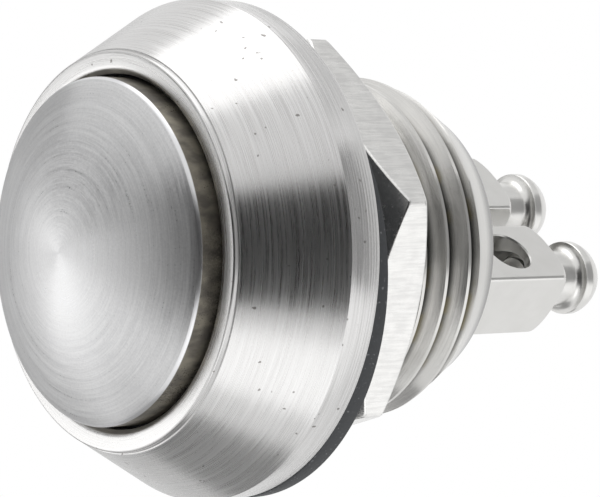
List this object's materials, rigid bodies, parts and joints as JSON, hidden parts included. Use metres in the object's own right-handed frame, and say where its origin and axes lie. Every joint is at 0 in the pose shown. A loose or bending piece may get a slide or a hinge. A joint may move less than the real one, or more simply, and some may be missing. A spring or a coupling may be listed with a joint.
{
  "type": "anti vandal push button",
  "caption": "Domed metal push button in a turned bezel on a threaded barrel, clamped by a hexagon nut over a gasket, with square screw terminals.",
  "frame": {"origin": "on the button's axis, in the plane of the bezel's seat on the gasket, where the panel clamps it", "axes": "+Z along the button's axis, out of the panel towards the finger; the two terminals stand side by side along X, and their wire holes run along Y"},
  "size_m": [0.025, 0.025, 0.0342],
  "materials": {
    "bezel_steel": "turned and brushed",
    "cap_steel": "turned rings, polished side",
    "nut_plate": "nickel plated",
    "terminal_plate": "nickel plated brass",
    "seal_rubber": "matt",
    "base_plastic": "moulded",
    "sleeve_plastic": "moulded",
    "inner_steel": "bright",
    "spring_steel": "drawn wire",
    "bridge_brass": "rolled",
    "contact_silver": "silver"
  },
  "bodies": {
    "housing": {"body": "bezel_steel", "guide_sleeve": "sleeve_plastic", "return_spring": "spring_steel", "insulator_base": "base_plastic", "base_o_ring": "seal_rubber", "base_retaining_ring": "spring_steel", "terminal_left": "terminal_plate", "terminal_right": "terminal_plate", "fixed_contact_left": "contact_silver", "fixed_contact_right": "contact_silver", "panel_gasket": "seal_rubber"},
    "button": {"button_cap": "cap_steel", "cap_o_ring": "seal_rubber", "plunger": "inner_steel", "plunger_clip": "spring_steel", "bridge_clip": "spring_steel", "contact_spring": "spring_steel"},
    "bridge": {"contact_bridge": "bridge_brass", "bridge_contact_left": "contact_silver", "bridge_contact_right": "contact_silver"},
    "nut": {"hex_nut": "nut_plate"},
    "screw_left": {"terminal_screw_left": "terminal_plate"},
    "screw_right": {"terminal_screw_right": "terminal_plate"}
  },
  "joints": [
    {"name": "button_press", "type": "slide", "parent": "housing", "child": "button", "axis": [0, 0, -1], "range_m": [0, 0.0016], "stiffness_N_per_m": 1500, "springref_m": -0.001, "deforming": ["return_spring"]},
    {"name": "bridge_float", "type": "slide", "parent": "button", "child": "bridge", "axis": [0, 0, 1], "range_m": [0, 0.0006], "deforming": ["contact_spring"]},
    {"name": "nut_travel", "type": "slide", "parent": "housing", "child": "nut", "axis": [0, 0, -1], "range_m": [-0.0012, 0.0048]},
    {"name": "screw_left_travel", "type": "slide", "parent": "housing", "child": "screw_left", "axis": [0, 0, 1], "range_m": [-0.0008, 0.0015]},
    {"name": "screw_right_travel", "type": "slide", "parent": "housing", "child": "screw_right", "axis": [0, 0, 1], "range_m": [-0.0008, 0.0015]}
  ],
  "couplings": [
    {"joint": "bridge_float", "follows": "button_press", "ratio": 0.375}
  ]
}
